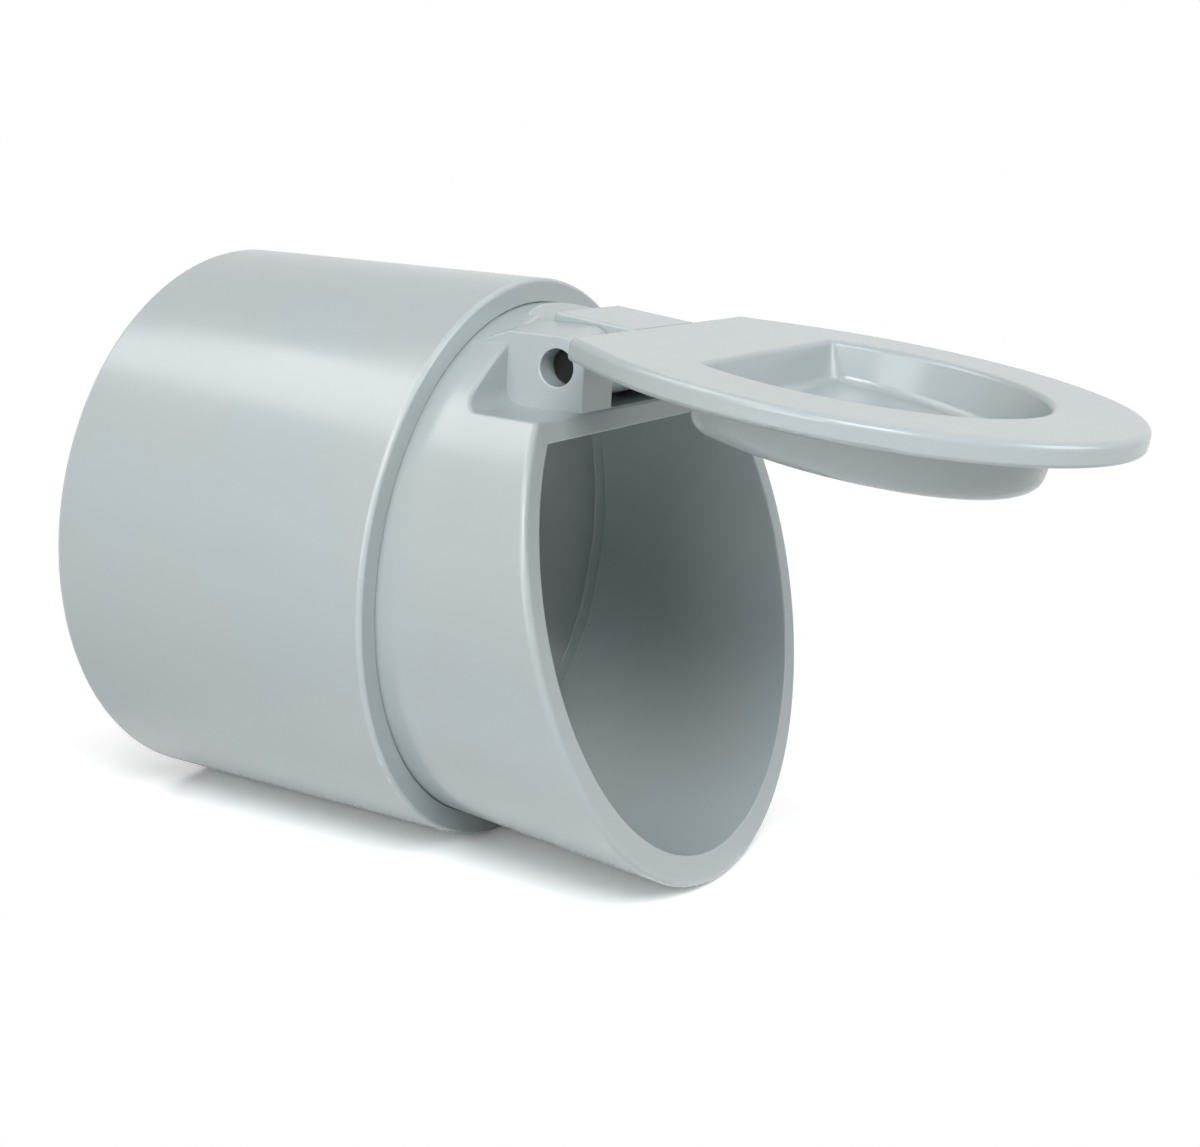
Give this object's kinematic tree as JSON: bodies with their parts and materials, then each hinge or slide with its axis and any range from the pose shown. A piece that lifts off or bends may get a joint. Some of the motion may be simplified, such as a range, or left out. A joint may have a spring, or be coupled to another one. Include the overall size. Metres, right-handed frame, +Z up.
{
  "type": "drain pipe flap end cap",
  "caption": "Push-on end cap for a drain pipe: plain socket, raked nose and a hinged round flap that opens with the flow and falls shut against backflow.",
  "frame": {"origin": "centre of the seat inside the socket that the pipe's end stops against", "axes": "+X along the pipe towards the mouth, +Z up to the hinge, +Y along the hinge pin; the flap is stored open as in the picture"},
  "size_m": [0.1972, 0.1168, 0.1168],
  "materials": {
    "grey_plastic": "smooth moulded, semi-gloss",
    "black_plastic": "plain, matt"
  },
  "bodies": {
    "cap": {"coupling_sleeve": "grey_plastic", "nose_body": "grey_plastic", "hinge_pin": "black_plastic"},
    "flap": {"flap": "grey_plastic"}
  },
  "joints": [
    {"name": "flap_hinge", "type": "hinge", "parent": "cap", "child": "flap", "pos_m": [0.03065, 0, 0.0443], "axis": [0, -1, 0], "range_deg": [-68.6, 20]}
  ]
}
